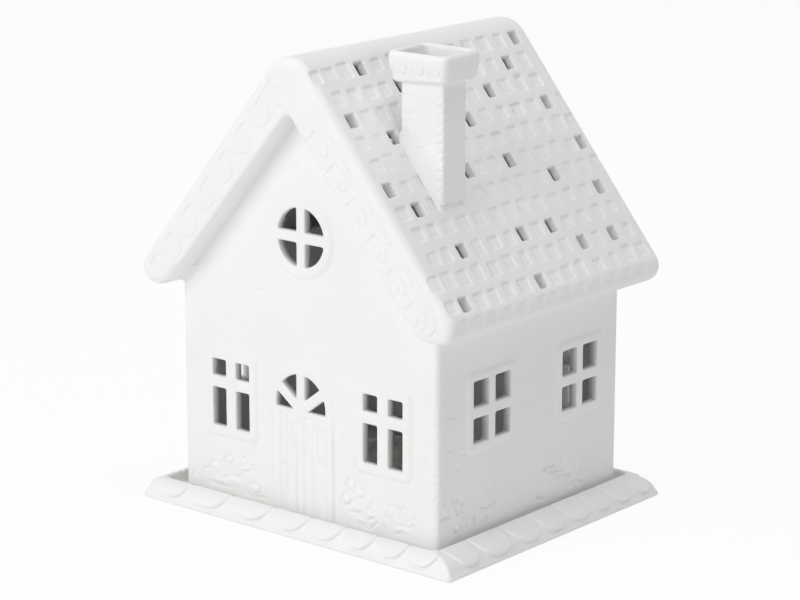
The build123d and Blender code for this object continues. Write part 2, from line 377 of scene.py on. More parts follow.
def fill_house(field, reliefs):
    """Walls, roof and cavity, slab by slab along Y."""
    x, z = field.x, field.z
    shapes = (hull_distance, gable_distance, wedge_distance)
    hull, gable, wedge = (shape(x, z).astype(single) for shape in shapes)
    heights = {name: relief.heights() for name, relief in reliefs.items()}
    skin_x, skin_z, dents = skin_dents(field, reliefs, hull, wedge)
    fillet = np.where(z < soffit + eave_zone, eave_fillet, gable_fillet).astype(single)
    softness = smooth(soft_edge_high, soft_edge_low, z - soffit)
    board_edge = (inner_edge_radius + (soffit_corner - inner_edge_radius) * softness).astype(single)
    for start in range(0, field.values.shape[1], slab_rows):
        rows = slice(start, start + slab_rows)
        y = field.y[:, rows]
        faces = (heights["front"], heights["back"], heights["right"][:, rows], heights["left"][:, rows])
        relief = face_heights(x, y, half_length - wall_corner, half_depth - wall_corner, faces)
        walls = rectangle(x, y, half_length, half_depth, wall_corner) - relief
        walls = np.maximum(walls, wedge + board_width / 2)
        slab = np.repeat(hull, y.shape[1], axis=1)
        slab[skin_x, :, skin_z] -= dents[:, rows]
        ends = np.abs(y) - roof_half_depth - np.where(y < 0, heights["front_boards"], heights["back_boards"])
        slab = meet(meet(slab, ends, outer_edge_radius), -gable, board_edge)
        inner = rectangle(x, y, half_length - wall, half_depth - wall, inner_corner)
        inner = np.maximum(inner, wedge + wall)
        space = np.maximum(np.maximum(hull, -gable) + wall, np.abs(y) - roof_half_depth + wall)
        shell = np.maximum(join(walls, slab, fillet), -join(inner, space, inner_corner))
        field.values[:, rows] = meet(shell, foot - z, foot_radius)


def make_house():
    """The field of the whole shell: walls and roof with their relief, hollow inside, with all openings."""
    field = Field(*house_box, house_step)
    down = np.arange(0, slope_length + slope_overrun, field.step)[:, None]
    reliefs = {name: Relief(field.x, field.z) for name in ("front", "back", "front_boards", "back_boards")}
    reliefs.update({name: Relief(field.y, field.z) for name in ("right", "left")})
    reliefs.update({name: Relief(down, field.y.ravel()) for name in ("right_slope", "left_slope")})
    draw_gable(reliefs["front"], 1)
    draw_round_frame(reliefs["front"])
    draw_door(reliefs["front"])
    draw_gable(reliefs["back"], -1)
    draw_side(reliefs["right"], right_windows, 1)
    draw_side(reliefs["left"], left_windows, -1)
    draw_boards(reliefs["front_boards"], right_wave, left_wave)
    draw_boards(reliefs["back_boards"], right_wave, right_wave)
    draw_slopes(reliefs)
    fill_house(field, reliefs)
    cut_walls(field)
    cut_perforations(field)
    cut_flue(field)
    return field


# Windows and door, with the sizes of their panes and raised frames

front_window = {"half_length": 8.9, "low": foot + 28.2, "high": foot + 53.2, "post": 5.0,
                "rail": foot + 44.75, "rail_width": 4.5, "margin": 3.7}
side_window = {"half_length": 10.4, "low": foot + 36.6, "high": foot + 59.1, "post": 3.7,
               "rail": foot + 47.6, "rail_width": 4.0, "margin": 3.0}
front_windows = (-35.9, 35.9)
right_windows = (-23.1, 28.2)
left_windows = (-18.9, 28.2)
pane_corner = 0.45
pane_flare = 0.9
flare_start = 0.8
opening_edge = 0.4
opening_margin = 2.0
cut_reach = 8.0
cut_depth = 7.0
frame_corner = 2.6
frame_height = 0.8
frame_edge = 0.9
round_window_x = -1.5
round_window_z = foot + 104.4
round_window_radius = 10.8
round_window_bar = 4.0
round_window_corner = 0.6
round_window_reach = 13.0
round_frame_width = 3.8
door_x = -2.3
door_half = 15.2
door_height = 0.6
door_edge = 0.7
fan_radius = 11.6
fan_sill = foot + 41.2
fan_springing = fan_sill + 1.6
fan_bar = 4.0
fan_bar_angles = (-53.0, 0.0, 53.0)
fan_middle = fan_sill + 6
fan_reach = 14.0


def window_panes(u, v, window):
    """Distance to the four panes of a window centred at u = 0."""
    middle = (window["low"] + window["high"]) / 2
    half_height = (window["high"] - window["low"]) / 2
    opening = rectangle(u, v - middle, window["half_length"], half_height, pane_corner)
    opening = meet(opening, window["post"] / 2 - np.abs(u), pane_corner)
    return meet(opening, window["rail_width"] / 2 - np.abs(v - window["rail"]), pane_corner)


def round_panes(u, v):
    """Distance to the four quarters of the round gable window."""
    quarters = np.hypot(u - round_window_x, v - round_window_z) - round_window_radius
    quarters = meet(quarters, round_window_bar / 2 - np.abs(u - round_window_x), round_window_corner)
    return meet(quarters, round_window_bar / 2 - np.abs(v - round_window_z), round_window_corner)


def arch(u, v, half_width, springing):
    """Distance to a round-headed outline over the door's middle."""
    across = np.abs(u - door_x)
    return np.where(v > springing, np.hypot(across, v - springing), across) - half_width


def fan_panes(u, v):
    """Distance to the fan light's panes, between bars that spread from the sill."""
    panes = np.maximum(arch(u, v, fan_radius, fan_springing), fan_sill - v)
    for angle in fan_bar_angles:
        turn = radians(angle)
        away = np.abs((u - door_x) * cos(turn) + (v - fan_sill) * sin(turn))
        panes = np.maximum(panes, fan_bar / 2 - away)
    return panes


def cut_opening(field, axis, side, shape, low, high):
    """Cut panes through a wall that faces along axis 0 or 1; low and high are corners on the wall."""
    face = (half_length, half_depth)[axis]

    def panes(x, y, z):
        through, along = (x, y) if axis == 0 else (y, x)
        widening = pane_flare * smooth(flare_start, wall, face - side * through)
        return np.maximum(shape(along, z) - widening, np.abs(through - side * face) - cut_depth)

    corners = [list(low), list(high)]
    for corner, reach in zip(corners, (-cut_reach, cut_reach)):
        corner.insert(axis, side * face + reach)
    field.carve(*corners, panes, opening_edge)


def cut_walls(field):
    """All windows of the four walls, then the round window and the fan light."""
    walls = ((1, -1, front_windows, front_window), (1, 1, front_windows, front_window),
             (0, 1, right_windows, side_window), (0, -1, left_windows, side_window))
    for axis, side, centres, window in walls:
        reach = window["half_length"] + opening_margin
        for centre in centres:
            low = (centre - reach, window["low"] - opening_margin)
            high = (centre + reach, window["high"] + opening_margin)
            cut_opening(field, axis, side, lambda u, v: window_panes(u - centre, v, window), low, high)
    for shape, u, v, reach in ((round_panes, round_window_x, round_window_z, round_window_reach),
                               (fan_panes, door_x, fan_middle, fan_reach)):
        cut_opening(field, 1, -1, shape, (u - reach, v - reach), (u + reach, v + reach))


def raise_frame(relief, centre, window):
    """A raised band round a window."""
    middle = (window["low"] + window["high"]) / 2
    half_u = window["half_length"] + window["margin"]
    half_v = (window["high"] - window["low"]) / 2 + window["margin"]
    relief.raise_shape(lambda u, v: rectangle(u - centre, v - middle, half_u, half_v, frame_corner),
                       frame_height, frame_edge)


# Lines of the pressed plants, in the wall's own axes: along it, and up from the table

fern = (
    ((-52, 6.5), (-51.5, 10), (-50.5, 14)),
    ((-50, 13.5), (-48, 14), (-46.5, 16.5), (-44, 17.5), (-42, 16.5)), ((-47.7, 12.8), (-47, 15)),
    ((-40.5, 17.5), (-39.5, 20), (-37, 21.3), (-35, 20.3), (-36.5, 18.2)), ((-31, 21), (-29, 22.2)),
    ((-32.7, 18.2), (-29, 19), (-25, 18.7), (-28, 17), (-32.7, 15.8)),
    ((-40.3, 12), (-38, 13), (-34, 13.5), (-31.5, 15)), ((-47, 9), (-43, 8.5), (-37, 8.8)),
    ((-28, 12), (-24, 12.5)), ((-31, 11.5), (-29.5, 9), (-27, 7)), ((-26, 8.7), (-23.5, 9.5), (-22, 12)),
    ((-26, 7.5), (-22, 8.3), (-20.5, 8)), ((-56, 11), (-53.5, 9.5)),
)
bud_plant = (
    ((19, 20), (19, 22), (20.5, 23.8), (22.5, 24), (23, 22)),
    ((19.5, 19.5), (17.5, 17.5), (16.3, 16), (16, 14.2)), ((17.5, 13.7), (20, 14.5), (21, 16), (23, 15.5)),
    ((20, 12.2), (23, 12), (26, 12.8)), ((24, 17.5), (26, 18.2)), ((25, 21.5), (28, 21)),
    ((27, 19.5), (30, 19), (30.5, 17)), ((28.5, 14.5), (30, 14.2)), ((29, 10.7), (31.5, 11.8)),
    ((24.5, 8.5), (28, 7.3)), ((30, 7.5), (33.5, 11)),
)
low_plant = (
    ((36.5, 13.5), (38, 16), (38, 18), (41, 18.2)), ((43.3, 18), (46, 19)), ((43.5, 15), (44.5, 17.5)),
    ((47, 14.3), (49, 15), (51, 16.8)), ((41.3, 11.2), (45, 12), (47.5, 11.8), (49.5, 13.3)),
    ((36, 10.5), (37.3, 7)), ((41, 8), (44.7, 9.7)),
)
side_plants = (
    ((-50.5, 16.5), (-48, 17.5), (-45.5, 16.2)), ((-48, 20), (-48, 23)), ((-44.5, 21), (-43.5, 23)),
    ((-41.5, 16.5), (-42.3, 19.5), (-41, 22), (-40, 19), (-41, 16.5)), ((-39, 16.5), (-38.3, 20)),
    ((-38.7, 12.5), (-38.3, 15)), ((-43.5, 12), (-42, 10), (-40, 10.5), (-40.5, 12.5)),
    ((-36.5, 10.5), (-36.5, 13.5)), ((-33.2, 10.5), (-32.5, 13), (-31.3, 10.8)),
    ((-25.5, 18.5), (-25.3, 21)), ((-23, 18), (-22.8, 21.5)), ((-20.8, 22), (-20.2, 24)),
    ((-28, 15.5), (-23, 14.8), (-20, 16)), ((-25.5, 9.8), (-24.5, 11.2)), ((18.5, 20.5), (18.9, 23.5)),
    ((22.5, 18), (22.9, 21.5)), ((26.5, 16), (26.9, 19)), ((31.2, 12.5), (31.8, 17)), ((8, 21), (15, 20.5)),
    ((9, 20), (15, 18.5), (20, 17.5)), ((15, 16.5), (24, 14.5)), ((23, 10.5), (28, 11), (32, 10.3)),
    ((4, 11), (8, 9.5)),
)
swells = {
    "fern": ((-30, 17.3, 3.4, 1.3), (-37.5, 19.2, 2.4, 1.6), (-45, 15.5, 2.6, 1.6), (-35, 11.5, 4.5, 1.6),
             (-42, 10.5, 4.5, 1.2), (-24, 10.7, 2.6, 1.6), (-50.8, 10, 1, 3)),
    "buds": ((21, 21.7, 2, 2.2), (18.8, 16, 2.4, 2), (25.5, 19.6, 2.4, 1.7), (28.8, 17, 1.9, 2.2),
             (23, 13.8, 3, 1.3), (30, 12.8, 2.2, 1.3), (25.5, 10, 3.2, 1.4)),
    "low": ((38.8, 15.2, 1.8, 2.2), (44.8, 16.8, 1.8, 2), (49.3, 14.2, 2, 1.4), (44, 10.4, 3.4, 1.2)),
    "side": ((-48, 19.5, 1.6, 2.6), (-41, 19.3, 1, 2.6), (-38.6, 18, 0.9, 2.2), (-41.5, 12, 2.2, 2),
             (-37.2, 12.5, 1, 2.2), (-25.4, 19.2, 1, 2), (-22.8, 19.5, 1, 2.4),
             (-32.4, 11.5, 1.2, 1.8), (18.7, 21.5, 1, 2.2), (22.7, 19.5, 1, 2.4), (26.7, 17, 1, 2.2),
             (31.5, 14.5, 1.1, 2.6), (12, 19.7, 4, 0.9), (27.5, 10.9, 4, 0.9)),
}
outlines = {"fern": fern, "buds": bud_plant, "low": low_plant, "side": side_plants}
plant_pens = {"fern": (0.55, 0.58), "buds": (0.55, 0.62), "low": (0.55, 0.58), "side": (0.8, 1.0)}
swell_share = 0.8

# Small marks on the walls, and the pens that press them
gable_marks = (
    (-38.7, 64.1), (-17.1, 64.5), (5.1, 65.1), (24.9, 74.1), (44.8, 69), (16.8, 60.4), (36.2, 62.7),
    (-3.8, 133.1), (7.4, 123.8), (-28, 96.4), (-22, 85.7), (-32, 76.5), (-48.9, 69.4), (-7.5, 77.3),
    (40.3, 84.4), (18.2, 37.2), (-20.8, 30.9), (-51.4, 20.5), (-52.5, 40.3),
)
side_marks = ((-43.5, 52.5), (-45.5, 41), (-41, 33.5), (-38, 38))
crescent_half = 1.4
crescent_tip = 0.25
crescent_dip = 0.35
crescent_pen = (0.8, 0.4)
stitch_line = 54.9
stitch_heights = (67.6, 64.9, 61.4, 58.5, 54.3, 48.9, 43.9, 39.1, 35.5, 30.1, 24.0)
stitch_half = 0.9
stitch_slant = 0.1
stitch_pen = (0.55, 0.35)
notches_low = 13.0
notches_high = 56.0
notch_width = 0.8
notch_seeds = {1: 21, -1: 22}


def draw_plants(relief, names, flip):
    """Pressed outlines with soft swellings inside them."""
    for name in names:
        relief.groove_lines(outlines[name], plant_pens[name], flip)
        for u, v, half_u, half_v in swells[name]:
            relief.swell((flip * u, v), (half_u, half_v), swell_share * plant_pens[name][1])


def press_crescents(relief, marks, flip):
    """Small marks like a pressed fingernail."""
    for u, v in marks:
        middle = flip * u
        relief.groove(((middle - crescent_half, v + crescent_tip), (middle, v - crescent_dip),
                       (middle + crescent_half, v + crescent_tip)), crescent_pen)


def draw_stitches(relief, u):
    """Short, nearly level ticks one above another near a corner of the walls."""
    for v in stitch_heights:
        relief.groove(((u - stitch_half, v - stitch_slant), (u + stitch_half, v + stitch_slant)), stitch_pen)


def notch_corner(relief, edge, seed):
    """Small uneven notches down a corner of the walls."""
    rng = np.random.default_rng(seed)
    v = notches_low
    while v < notches_high:
        inward = edge - np.sign(edge) * rng.uniform(1.2, 2.4)
        line = ((edge + np.sign(edge), v), (inward, v + rng.uniform(-0.3, 0.3)))
        relief.groove(line, (notch_width, rng.uniform(0.15, 0.38)))
        v += rng.uniform(2.3, 3.6)


def draw_gable(relief, flip):
    """What both gable walls carry; the back's plants and marks are the front's, mirrored."""
    for centre in front_windows:
        raise_frame(relief, centre, front_window)
    draw_plants(relief, ("fern", "buds", "low"), flip)
    press_crescents(relief, gable_marks, flip)
    draw_stitches(relief, flip * stitch_line)
    notch_corner(relief, flip * half_length, notch_seeds[flip])


def draw_side(relief, centres, flip):
    """Window frames, plants and marks of a side wall."""
    for centre in centres:
        raise_frame(relief, centre, side_window)
    draw_plants(relief, ("side",), flip)
    press_crescents(relief, side_marks, flip)


def draw_round_frame(relief):
    """Raised ring round the gable window."""
    radius = round_window_radius + round_frame_width
    relief.raise_shape(lambda u, v: np.hypot(u - round_window_x, v - round_window_z) - radius,
                       frame_height, frame_edge)


# Door: each plank's middle, half width and top, and the lines beside and on the planks

planks = ((-13.1, 1.9, 42.5), (-6.1, 2.6, 42.5), (1.8, 2.2, 42.3), (8.3, 2.0, 42.3))
plank_low = 6.5
plank_middle = 24.0
plank_shoulder = 1.8
plank_crown = 0.9
plank_pen = (0.5, 0.5)
door_pen = (0.55, 0.45)
door_marks = (
    ((-17.3, 6.5), (-17.3, 25), (-17.2, 49)), ((13.2, 6.5), (13.2, 22), (13.1, 40)),
    ((-12.9, 27.5), (-11, 28.2), (-9.4, 26.6), (-9.3, 23.6), (-11.2, 22.2), (-12.8, 22.8)),
    ((6, 27), (9, 26), (10, 25.5)), ((6.5, 22.5), (8.5, 22)), ((-5.7, 39), (-6.4, 34)),
    ((-4.8, 33), (-5.5, 30)), ((-4.4, 31), (-3.3, 28.5)), ((0.8, 38.5), (-0.8, 36.5)),
    ((0.5, 35), (-0.7, 33.3)), ((1.5, 32.3), (0.5, 31)), ((0.2, 30.5), (-0.5, 29.5)),
)


def draw_door(relief):
    """Raised arch with pressed outlines over four round-headed planks."""
    relief.raise_shape(lambda u, v: arch(u, v, door_half, fan_springing), door_height, door_edge)
    for centre, half_width, top in planks:
        half = ((half_width, plank_low), (half_width, plank_middle), (half_width, top - plank_shoulder),
                (plank_crown, top))
        left = [(centre - u, v) for u, v in half]
        relief.groove(left + [(centre + u, v) for u, v in reversed(half)], plank_pen)
    relief.groove_lines(door_marks, door_pen)


# Wave scroll of the rake boards: distance down the slope from each crest, and inset from the slope

right_wave = {
    "crests": (32.4, 45.9, 59.7, 74.2, 87.4, 100.9),
    "lines": (
        ((-13.5, 16), (-8, 16), (-3.4, 16), (-1.2, 15.5), (0.2, 14.2), (0.4, 12), (0, 9.4)),
        ((0, 9.4), (4, 8.6), (7.2, 8.4), (9.5, 9.6), (9.8, 11.2), (8.9, 12.6), (7.4, 12.6), (6.3, 11.5)),
        ((1.5, 5), (5, 5.1), (9, 5.4)),
    ),
    "end": (
        ((56, 89), (57.5, 86), (61, 84.5), (64, 85.5), (66.3, 88), (66.5, 91), (65, 95), (60, 101),
         (54, 107.5), (46, 114)),
        ((57.5, 96.8), (61, 94.5), (62.5, 91), (61, 89.3), (59.5, 90), (59.4, 91.4)),
    ),
}
left_wave = {
    "crests": (37.5, 51.4, 65.9, 79.9, 94.6, 106.6),
    "lines": (
        ((-12.5, 9), (-11, 11.5), (-7.5, 12.6), (-3.1, 10.6), (-1.2, 7.5), (0, 5)),
        ((0, 5), (3.2, 4.6), (6.3, 5)),
    ),
    "end": (
        ((71, 85.5), (66, 83.8), (63, 85)),
        ((7, 165), (11, 159.5), (15, 154)),
    ),
}
board_pens = {1: (0.55, 0.6), -1: (0.55, 0.54)}
ridge_ticks = (167, 164.5, 162, 158, 155)
ridge_tick_span = (-4.5, -1.5)
ridge_tick_pen = (0.8, 0.36)


def draw_boards(relief, right, left):
    """The scroll on both rake boards of one gable, with ticks under the ridge."""
    for side, wave in ((1, right), (-1, left)):
        for crest in wave["crests"]:
            for line in wave["lines"]:
                places = [slope_place(side, crest + down, inset) for down, inset in line]
                relief.groove(places, board_pens[side])
        relief.groove_lines(wave["end"], board_pens[side], side)
    for v in ridge_ticks:
        relief.groove(((ridge_tick_span[0], v), (ridge_tick_span[1], v + 0.1)), ridge_tick_pen)


def draw_slopes(reliefs):
    """Soft rectangular dents on the perforation grid of both slopes, and fainter ones along the eaves."""
    rng = np.random.default_rng(5)
    for name, side in (("right_slope", 1), ("left_slope", -1)):
        relief = reliefs[name]
        for mark, distance, along in grid_cells(side):
            depth = rng.uniform(0.55, 1.0)
            place = (distance + rng.uniform(-0.5, 0.5), along + rng.uniform(-0.5, 0.5))
            half = (hole_length / 2 + rng.uniform(-0.4, 0.5), hole_width / 2 + rng.uniform(-0.5, 0.4))
            if mark != "o" and abs(along) < dent_limit and not under_chimney(side, distance, along):
                press_rectangle(relief, place, half, depth)
        for share in column_shares[1:-1]:
            place = (slope_length + eave_dent_place, side * share * roof_half_depth)
            press_rectangle(relief, place, eave_dent_half, eave_dent_depth)


def press_rectangle(relief, place, half, depth):
    """A soft dent with firm sides, deepest under its upper edge and running out below."""
    spans, u, v = relief.window(np.array([place]), hole_length)
    away = rectangle(u - place[0], v - place[1], *half, dent_corner)
    fall = 1 - dent_fall * smooth(place[0] - half[0], place[0] + half[0], u)
    relief.grooves[spans] = np.maximum(relief.grooves[spans], depth * fall * smooth(0.25, -0.35, away))


def under_chimney(side, distance, along):
    """Whether a cell of the grid lies at the chimney's foot."""
    x = slope_place(side, distance)[0]
    return abs(x - stack_x) < stack_half[0] + 2 and abs(along - stack_y) < stack_half[1] + 2


def cut_perforations(field):
    """All marked holes of both slopes."""
    for side in (1, -1):
        for mark, distance, along in grid_cells(side):
            if mark == "o":
                cut_hole(field, side, distance, along)


def cut_hole(field, side, distance, along):
    """One small rectangular hole, square to the roof slope, with one side slanted."""
    x0, z0 = slope_place(side, distance)

    def shape(x, y, z):
        down = side * (x - x0) * cos(pitch) - (z - z0) * sin(pitch)
        up = side * (x - x0) * sin(pitch) + (z - z0) * cos(pitch)
        slant = side * (y - along) - hole_width / 2 - hole_slant * np.clip(up / wall, -1, 0)
        opening = rectangle(down, y - along, hole_length / 2, hole_width / 2, hole_corner)
        return np.maximum(np.maximum(opening, 0.9 * slant), np.abs(up) - wall - hole_overcut)

    low = (x0 - hole_reach, along - hole_reach, z0 - hole_reach)
    high = (x0 + hole_reach, along + hole_reach, z0 + hole_reach)
    field.carve(low, high, shape, opening_edge)


def flue_distance(x, y, z):
    """Distance to the chimney's flue, the same at every height."""
    return about_stack(x, y, flue_half, flue_corner) + 0 * z


def cut_flue(field):
    """Open the roof under the chimney."""
    field.carve(*flue_box, flue_distance, flue_low_edge)


def build_house():
    """Walls, roof and openings as one casting."""
    piece = make_piece("house", *make_house().surface())
    return finish_piece(piece, "house", "house_shell")


# Chimney

stack_x = 38.2
stack_y = -28.6
stack_half = (9.4, 6.6)
stack_corner = 1.3
stack_flare = 1.3
stack_cap_fillet = 0.6
cap_half = (13.1, 10.3)
cap_corner = 2.8
cap_top_edge = 1.9
cap_low_edge = 1.5
mouth_half = (10.3, 7.5)
mouth_corner = 1.8
mouth_floor_corner = 1.6
mouth_edge = 1.1
flue_half = (6.6, 3.8)
flue_corner = 1.2
flue_box = ((stack_x - 10, stack_y - 8, 110), (stack_x + 10, stack_y + 8, 160))
flue_edge = 0.6
flue_low_edge = 0.5
foot_overlap = 0.5
cap_low = foot + 161.9
chimney_top = foot + 172.3
chimney_box = ((22.5, -40.6, 110), (54, -16.2, chimney_top + 1.5))
mouth_floor = cap_low + 2.8
cap_taper = 1.1
cap_sag = 1.0
cap_rise = 0.6
cap_scallops = (
    ((25.6, 166.9), (26.6, 167.1), (27.6, 168.2), (28.4, 169.9)),
    ((30.7, 168.4), (31.3, 167.5), (32.3, 167.2), (33.5, 168), (34.5, 170)),
    ((37.1, 169.2), (37.9, 167.8), (39.5, 167.3), (41.2, 168.4), (42.2, 170.7)),
    ((44.3, 169.2), (45.2, 168), (46.7, 167.6), (48.2, 168.6), (49, 170.2)),
)

# Pens and places of the chimney's marks; the notches down its corners have a start, an end and a step
cap_pen = (0.75, 0.5)
corner_notches = (128.0, 163.0, 3.2)
left_notch_pen = (0.6, 0.36)
right_notch_pen = (0.75, 0.5)
front_dents = ((42.2, 146.2), (42, 143), (42.4, 134), (43, 131), (37.2, 157), (34.5, 153.7),
               (38, 142))
front_dent_pen = (0.75, 0.26)
right_dents = ((-28.7, 150.5), (-32.2, 142), (-27.7, 141.5), (-32.7, 137), (-28.2, 132))
right_dent_pen = (0.7, 0.3)


def draw_chimney(front, right):
    """Scallops on the cap, notches down the stack's corners and a few dents."""
    front.groove_lines(cap_scallops, cap_pen)
    for v in np.arange(*corner_notches):
        front.groove(((30.3, v), (32.1, v + 0.1)), left_notch_pen)
        front.groove(((45.8, v + 0.5), (48.2, v + 0.8)), right_notch_pen)
    for u, v in front_dents:
        front.groove(((u - 0.8, v), (u + 0.8, v + 0.3)), front_dent_pen)
    for u, v in right_dents:
        right.groove(((u, v - 0.8), (u + 0.2, v + 0.8)), right_dent_pen)


def about_stack(x, y, half, corner):
    """Distance to an upright rectangular column on the stack's axis."""
    return rectangle(x - stack_x, y - stack_y, *half, corner)


def cap_distance(x, y, z):
    """Distance to the cap, widest near its top, with a slightly uneven underside, and its crown's height."""
    taper = cap_taper * smooth(0.6, 0.0, (z - cap_low) / (chimney_top - cap_low))
    low = cap_low - cap_sag * np.clip((stack_x + stack_half[0] - x) / (2 * stack_half[0]), 0, 1)
    top = chimney_top - cap_rise * np.clip((stack_y + cap_half[1] - y) / (2 * cap_half[1]), 0, 1)
    cap = about_stack(x, y, (cap_half[0] - taper, cap_half[1] - taper), cap_corner)
    return meet(meet(cap, z - top, cap_top_edge), low - z, cap_low_edge), top


def stack_distance(x, y, wedge):
    """Distance to the stack, whose front side flares softly into the roof."""
    stack = about_stack(x, y, stack_half, stack_corner)
    on_front = smooth(-stack_half[1] + 3, -stack_half[1], y - stack_y)
    return stack - stack_flare * smooth(4.0, -0.5, wedge) ** 2 * on_front


def seam_depth(x, y, wedge):
    """The uneven line at the chimney's foot, on its lower side, where it was stuck to the roof."""
    wander = 0.5 + 0.5 * np.sin(1.7 * y + 0.6 * x) * np.sin(0.9 * y + 2.1)
    seam = smooth(0.9, 0.2, np.abs(wedge - 0.4 - 0.4 * wander)) * smooth(4, 8, x - stack_x)
    return seam * (0.4 + 0.8 * wander)


def build_chimney():
    """Stack with its cap, hollow from the mouth down."""
    field = Field(*chimney_box, chimney_step)
    x, y, z = field.x, field.y, field.z
    front = Relief(x, z)
    right = Relief(y, z)
    draw_chimney(front, right)
    faces = (front.heights(), 0, right.heights(), 0)
    relief = face_heights(x - stack_x, y - stack_y, *stack_half, faces)
    wedge = wedge_distance(x, z)
    cap, top = cap_distance(x, y, z)
    solid = join(stack_distance(x, y, wedge), cap, stack_cap_fillet) - relief + seam_depth(x, y, wedge)
    solid = np.maximum(meet(solid, z - top, 0.3), -foot_overlap - wedge)
    mouth = meet(about_stack(x, y, mouth_half, mouth_corner), mouth_floor - z, mouth_floor_corner)
    solid = meet(solid, -mouth, mouth_edge)
    field.values[:] = meet(solid, -flue_distance(x, y, z), flue_edge)
    piece = make_piece("chimney_stack", *field.surface())
    return finish_piece(piece, "house", "chimney")


# Tray

tray_top = 8.3
tray_box = ((-74.6, -63.6, -1.0), (74.6, 63.6, tray_top + 1.0))
tray_floor = 3.6
tray_edge = 1.4
rim_bulge = 2.7
tray_corner = 2.0
tray_foot_edge = 1.1
crest_edge = 0.9
scallop_height = 1.1
scallop_edge = 0.4
scallop_above = 0.6
scallop_drop = 4.4
scallop_drop_gain = 0.16
scallop_drop_limit = 5.9
rim_slant = 0.8
relief_slant = 0.85
scallop_pen = (0.55, 0.4)
tray_half = (73.6, 62.6)
crest_half = (65.2, 57.8)
recess_half = (64.4, 57.0)
recess_shift = -1.6
recess_corner = 3.0
recess_edge = 1.0
seat_radius = 19.5
seat_floor = 2.4
front_scallops = ((-66.5, -52.3), (-51.5, -32.5), (-31, -11.8), (-10.8, 6.2), (7, 22.4), (23, 37.4),
                  (38, 52), (52.6, 65.8))
side_scallops = ((-55, -42), (-41, -23.6), (-22.4, -7.6), (-6.4, 7), (8, 21.8), (23, 34.2),
                 (35.2, 47.6), (48.6, 60))


def draw_scallops(relief, spans, flip):
    """Half discs that hang from the rim's crest, with deep lines between them."""
    level = tray_top + scallop_above
    for start, end in spans:
        middle = flip * (start + end) / 2
        half = (end - start) / 2
        drop = min(scallop_drop_limit, scallop_drop + scallop_drop_gain * half)
        height = drop + scallop_above
        relief.raise_shape(
            lambda u, v: 0.8 * drop * (np.hypot((u - middle) / half, (level - v) / height) - 1),
            scallop_height, scallop_edge)
        turns = np.linspace(0.06 * pi, 0.94 * pi, 12)
        outline = [(middle + (half + 0.2) * cos(turn), level - (drop + 0.8) * sin(turn)) for turn in turns]
        relief.groove(outline, scallop_pen)


def build_tray():
    """Tray with a bulging scalloped rim, a recess for the house and a seat for the tealight."""
    field = Field(*tray_box, tray_step)
    x, y, z = field.x, field.y, field.z
    reliefs = (Relief(x, z), Relief(x, z), Relief(y, z), Relief(y, z))
    for relief, spans, flip in zip(reliefs, (front_scallops, front_scallops, side_scallops, side_scallops),
                                   (1, -1, 1, -1)):
        draw_scallops(relief, spans, flip)
    share = np.clip((z - tray_edge) / (tray_top - tray_edge), 0, 1) ** rim_bulge
    half_x, half_y = (edge - (edge - crest) * share for edge, crest in zip(tray_half, crest_half))
    height = face_heights(x, y, half_x, half_y, [relief.heights() for relief in reliefs])
    sunk = scallop_height * smooth(0.8, 3.0, z) - height
    rim = rectangle(x - recess_shift * share, y, half_x, half_y, tray_corner)
    rim = rim * rim_slant + sunk * relief_slant
    rim = meet(meet(rim, z - tray_top, crest_edge), -z, tray_foot_edge)
    recess = rectangle(x - recess_shift, y, *recess_half, recess_corner)
    rim = meet(rim, -meet(recess, tray_floor - z, recess_edge), recess_edge)
    seat = meet(np.hypot(x, y) - seat_radius, seat_floor - z, 0.3)
    field.values[:] = meet(rim, -seat, 0.4)
    piece = make_piece("tray", *field.surface())
    return finish_piece(piece, "tray", "base_tray")


# Tealight

cup_radius = 19.0
cup_low = 2.4
cup_top = 17.4
cup_wall = 0.4
flute_count = 48
flute_depth = 0.16
wax_top = 14.4
wick_low = 3.1
wick_top = 21.4
sustainer_radius = 6.0


def lathe(name, profile, segments, wave=None):
    """A shape of revolution about Z. The profile goes up the outside and comes down the inside; if it
    starts on the axis it ends there, and otherwise it closes on itself. A wave moves places in or out."""
    count = len(profile)
    open_ended = profile[0][0] == 0
    form = bmesh.new()
    rings = []
    for step in range(segments):
        turn = 2 * pi * step / segments
        ring = []
        for index, (radius, height) in enumerate(profile):
            reach = radius + (wave(index, turn) if wave else 0)
            ring.append(form.verts.new((reach * cos(turn) * MM, reach * sin(turn) * MM, height * MM)))
        rings.append(ring)
    for step in range(segments):
        here, after = rings[step], rings[(step + 1) % segments]
        for index in range(count - 1 if open_ended else count):
            above = (index + 1) % count
            form.faces.new((here[index], after[index], after[above], here[above]))
    bmesh.ops.remove_doubles(form, verts=form.verts, dist=1e-7)
    mesh = bpy.data.meshes.new(name)
    form.to_mesh(mesh)
    form.free()
    mesh.polygons.foreach_set("use_smooth", np.ones(len(mesh.polygons), dtype=bool))
    return add_object(name, mesh)


def arc(centre, radius, start, end, count):
    """Profile places round a centre, between two angles in degrees."""
    turns = [radians(start + (end - start) * step / (count - 1)) for step in range(count)]
    return [(centre[0] + radius * cos(turn), centre[1] + radius * sin(turn)) for turn in turns]


